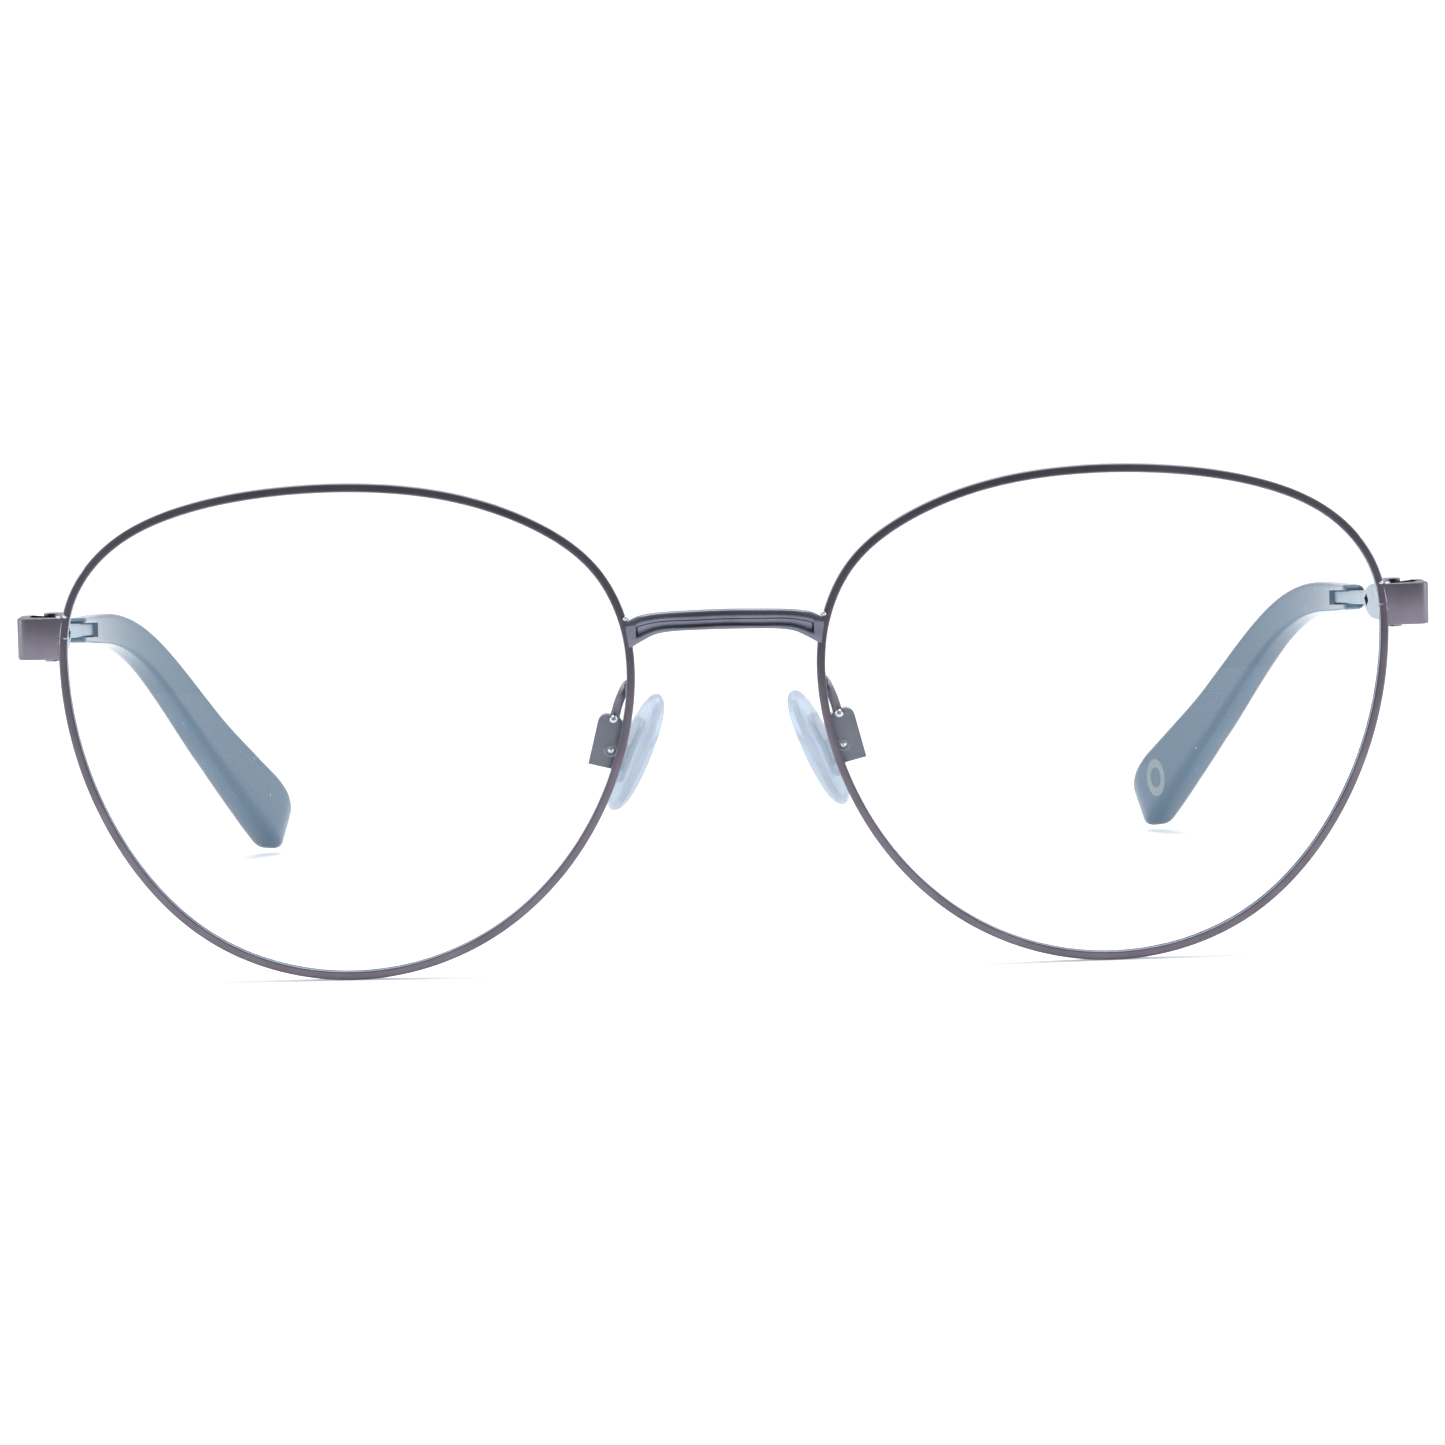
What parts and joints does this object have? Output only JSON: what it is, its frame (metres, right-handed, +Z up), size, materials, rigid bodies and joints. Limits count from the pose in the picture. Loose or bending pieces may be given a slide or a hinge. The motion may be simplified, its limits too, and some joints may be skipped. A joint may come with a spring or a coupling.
{
  "type": "round eyeglasses",
  "caption": "Round thin-rimmed metal eyeglasses with clear lenses, screw-on nose pads, folding temples and bent plastic temple tips.",
  "frame": {"origin": "centre of the plan of the open frame, on the surface that the rims and temple tips stand on", "axes": "+X to the wearer's left, +Y back from the lenses to the ears, +Z up"},
  "size_m": [0.1394, 0.1361, 0.049],
  "materials": {
    "rim_metal": "satin gunmetal",
    "bridge_metal": "polished gunmetal",
    "temple_metal": "satin",
    "screw_metal": "polished",
    "tip_acetate": "polished",
    "pad_silicone": "clear",
    "pad_core": "clear",
    "lens_clear": "clear",
    "inlay": "polished"
  },
  "bodies": {
    "front": {"rim_left": "rim_metal", "rim_right": "rim_metal", "lens_left": "lens_clear", "lens_right": "lens_clear", "bridge": "bridge_metal", "end_piece_left": "rim_metal", "end_piece_right": "rim_metal", "closing_block_upper_left": "rim_metal", "closing_block_upper_right": "rim_metal", "closing_block_lower_left": "rim_metal", "closing_block_lower_right": "rim_metal", "rim_screw_left": "screw_metal", "rim_screw_right": "screw_metal", "hinge_front_left": "rim_metal", "hinge_front_right": "rim_metal", "hinge_screw_left": "screw_metal", "hinge_screw_right": "screw_metal", "pad_arm_left": "rim_metal", "pad_arm_right": "rim_metal", "pad_box_left": "rim_metal", "pad_box_right": "rim_metal", "pad_screw_left": "screw_metal", "pad_screw_right": "screw_metal"},
    "temple_l": {"temple_left": "temple_metal", "hinge_temple_left": "temple_metal", "temple_tip_left": "tip_acetate", "tip_inlay": "inlay"},
    "temple_r": {"temple_right": "temple_metal", "hinge_temple_right": "temple_metal", "temple_tip_right": "tip_acetate"},
    "pad_l": {"nose_pad_left": "pad_silicone", "pad_core_left": "pad_core"},
    "pad_r": {"nose_pad_right": "pad_silicone", "pad_core_right": "pad_core"}
  },
  "joints": [
    {"name": "temple_left_fold", "type": "hinge", "parent": "front", "child": "temple_l", "pos_m": [0.0664, -0.05662, 0.03425], "axis": [0, 0, 1], "range_deg": [0, 81]},
    {"name": "temple_right_fold", "type": "hinge", "parent": "front", "child": "temple_r", "pos_m": [-0.0664, -0.05662, 0.03425], "axis": [0, 0, -1], "range_deg": [0, 73]},
    {"name": "pad_left_rock", "type": "hinge", "parent": "front", "child": "pad_l", "pos_m": [0.0115, -0.06082, 0.02185], "axis": [0, 1, 0], "range_deg": [-6, 6]},
    {"name": "pad_right_rock", "type": "hinge", "parent": "front", "child": "pad_r", "pos_m": [-0.0115, -0.06082, 0.02185], "axis": [0, 1, 0], "range_deg": [-6, 6]}
  ]
}
